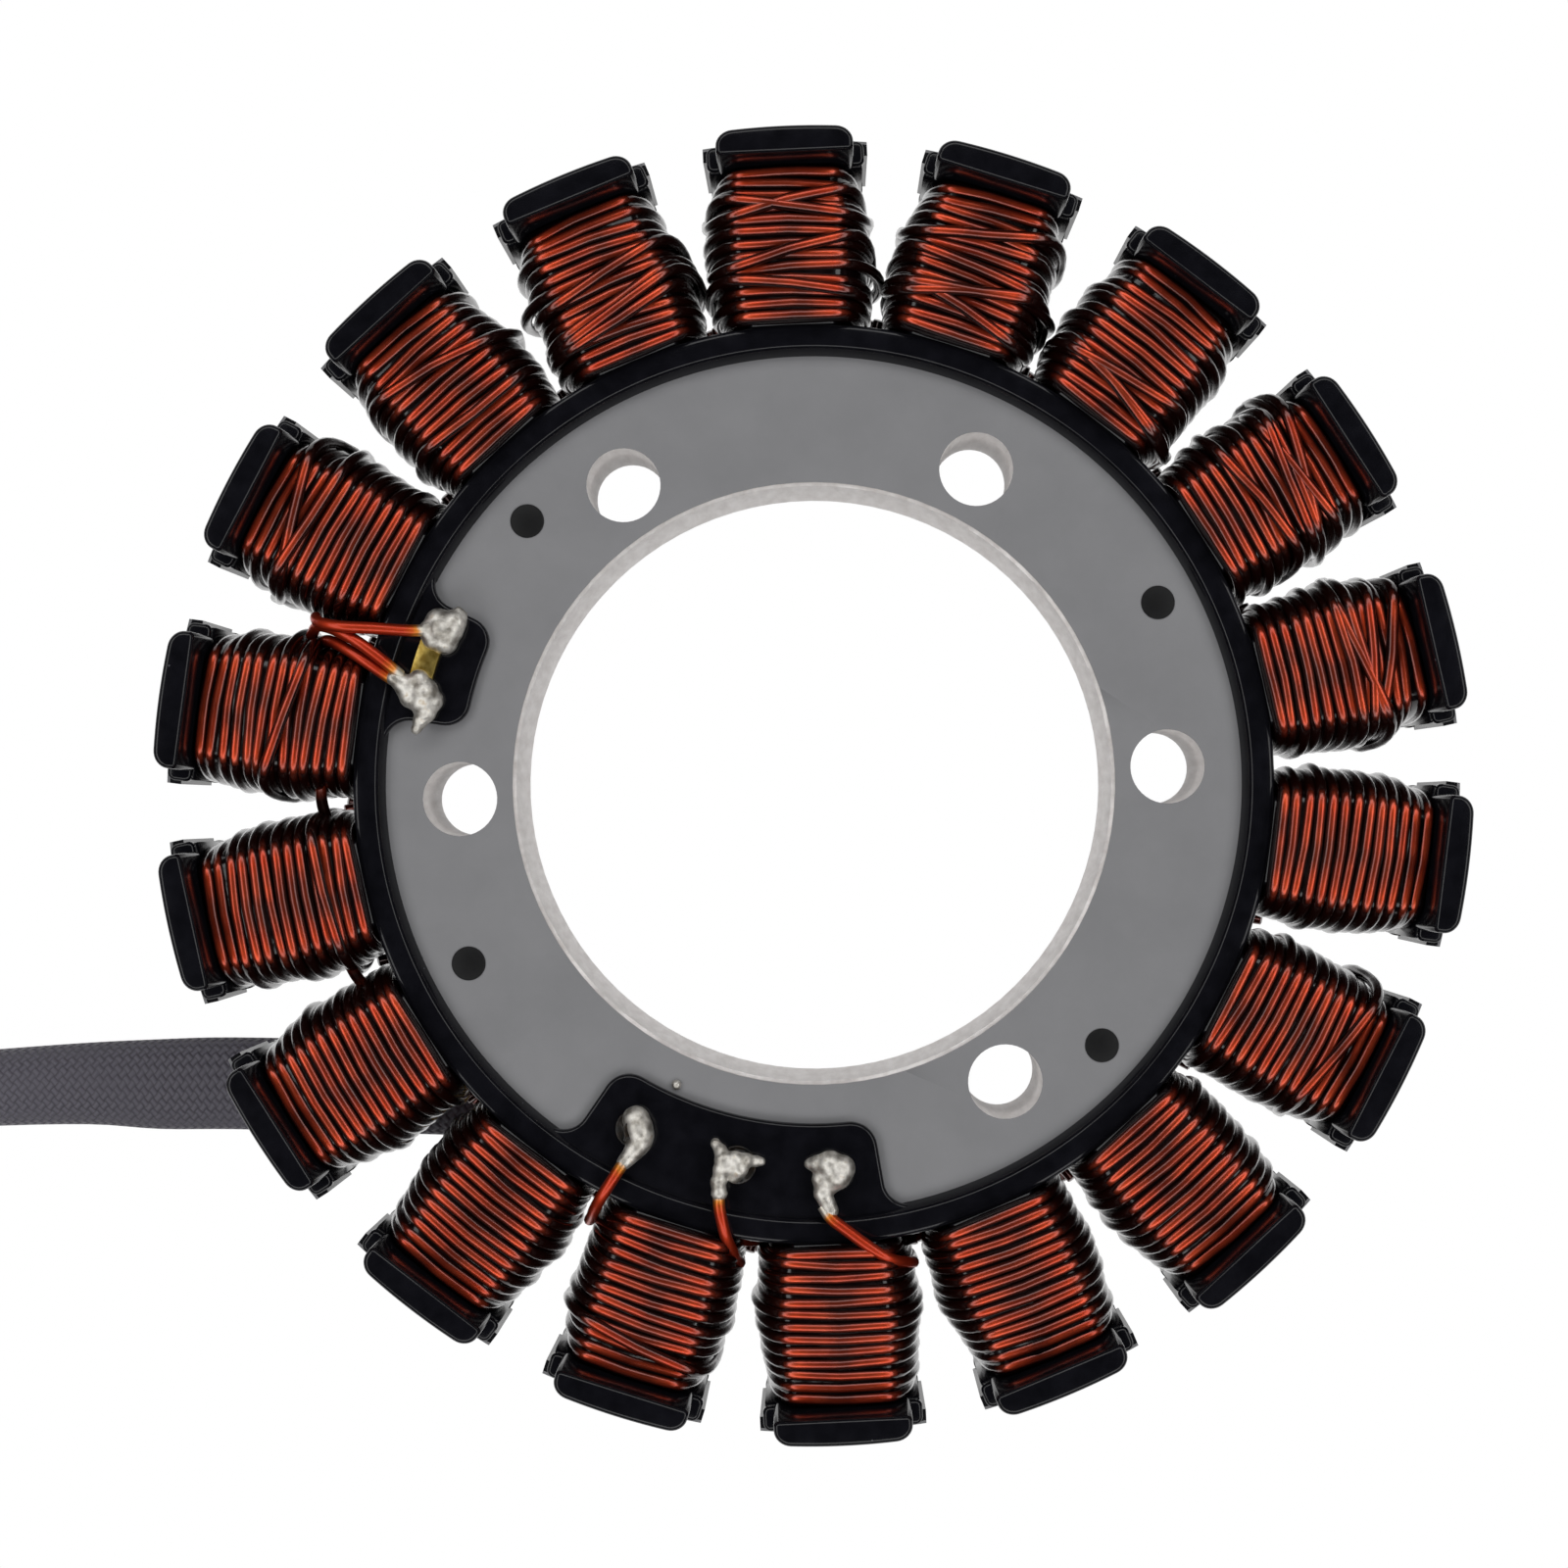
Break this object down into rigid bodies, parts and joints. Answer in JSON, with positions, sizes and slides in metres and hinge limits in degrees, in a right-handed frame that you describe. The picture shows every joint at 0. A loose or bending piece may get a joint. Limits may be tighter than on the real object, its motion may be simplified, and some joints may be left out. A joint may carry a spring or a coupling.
{
  "type": "wound stator",
  "caption": "Ring-shaped generator stator with outward poles, enamelled copper coils on black mouldings, soldered terminals and a woven-sleeved lead with a connector.",
  "frame": {"origin": "on the bore's axis, at the rear face of the lamination stack", "axes": "+Z along the bore towards the terminal side, +X through the bolt hole opposite the lead"},
  "size_m": [0.2494, 0.115, 0.0326],
  "materials": {
    "core_steel": "bare grey hub, satin",
    "black_moulding": "gloss black moulding",
    "rivet_black": "satin black",
    "enamelled_copper": "red-brown enamel under varnish",
    "brass": "bare",
    "solder": "bright solder",
    "lead_insulation": "yellow wire insulation",
    "woven_sleeve": "dark grey woven glass sleeve",
    "tie_nylon": "black nylon",
    "connector_nylon": "natural nylon"
  },
  "bodies": {
    "root": {"lamination_core": "core_steel", "front_insulator": "black_moulding", "rear_insulator": "black_moulding", "core_rivets": "rivet_black", "neutral_link": "brass", "rear_solder_joints": "solder", "coil_crossovers": "enamelled_copper", "lead_sleeve": "woven_sleeve", "lead_coil": "woven_sleeve", "lead_tail": "woven_sleeve", "lead_tie": "tie_nylon", "connector_housing": "connector_nylon", "connector_blades": "brass", "connector_wires": "lead_insulation", "coil_01": "enamelled_copper", "coil_02": "enamelled_copper", "coil_03": "enamelled_copper", "coil_04": "enamelled_copper", "coil_05": "enamelled_copper", "coil_06": "enamelled_copper", "coil_07": "enamelled_copper", "coil_08": "enamelled_copper", "coil_09": "enamelled_copper", "coil_10": "enamelled_copper", "coil_11": "enamelled_copper", "coil_12": "enamelled_copper", "coil_13": "enamelled_copper", "coil_14": "enamelled_copper", "coil_15": "enamelled_copper", "coil_16": "enamelled_copper", "coil_17": "enamelled_copper", "coil_18": "enamelled_copper", "output_terminal_1": "brass", "output_tail_1": "enamelled_copper", "neutral_tail_1": "enamelled_copper", "phase_jumpers_1": "enamelled_copper", "lead_wire_1": "lead_insulation", "output_terminal_2": "brass", "output_tail_2": "enamelled_copper", "neutral_tail_2": "enamelled_copper", "phase_jumpers_2": "enamelled_copper", "lead_wire_2": "lead_insulation", "output_terminal_3": "brass", "output_tail_3": "enamelled_copper", "neutral_tail_3": "enamelled_copper", "phase_jumpers_3": "enamelled_copper", "lead_wire_3": "lead_insulation", "solder_joint_1": "solder", "solder_joint_2": "solder", "solder_joint_3": "solder", "solder_joint_4": "solder", "solder_joint_5": "solder"}
  },
  "joints": []
}
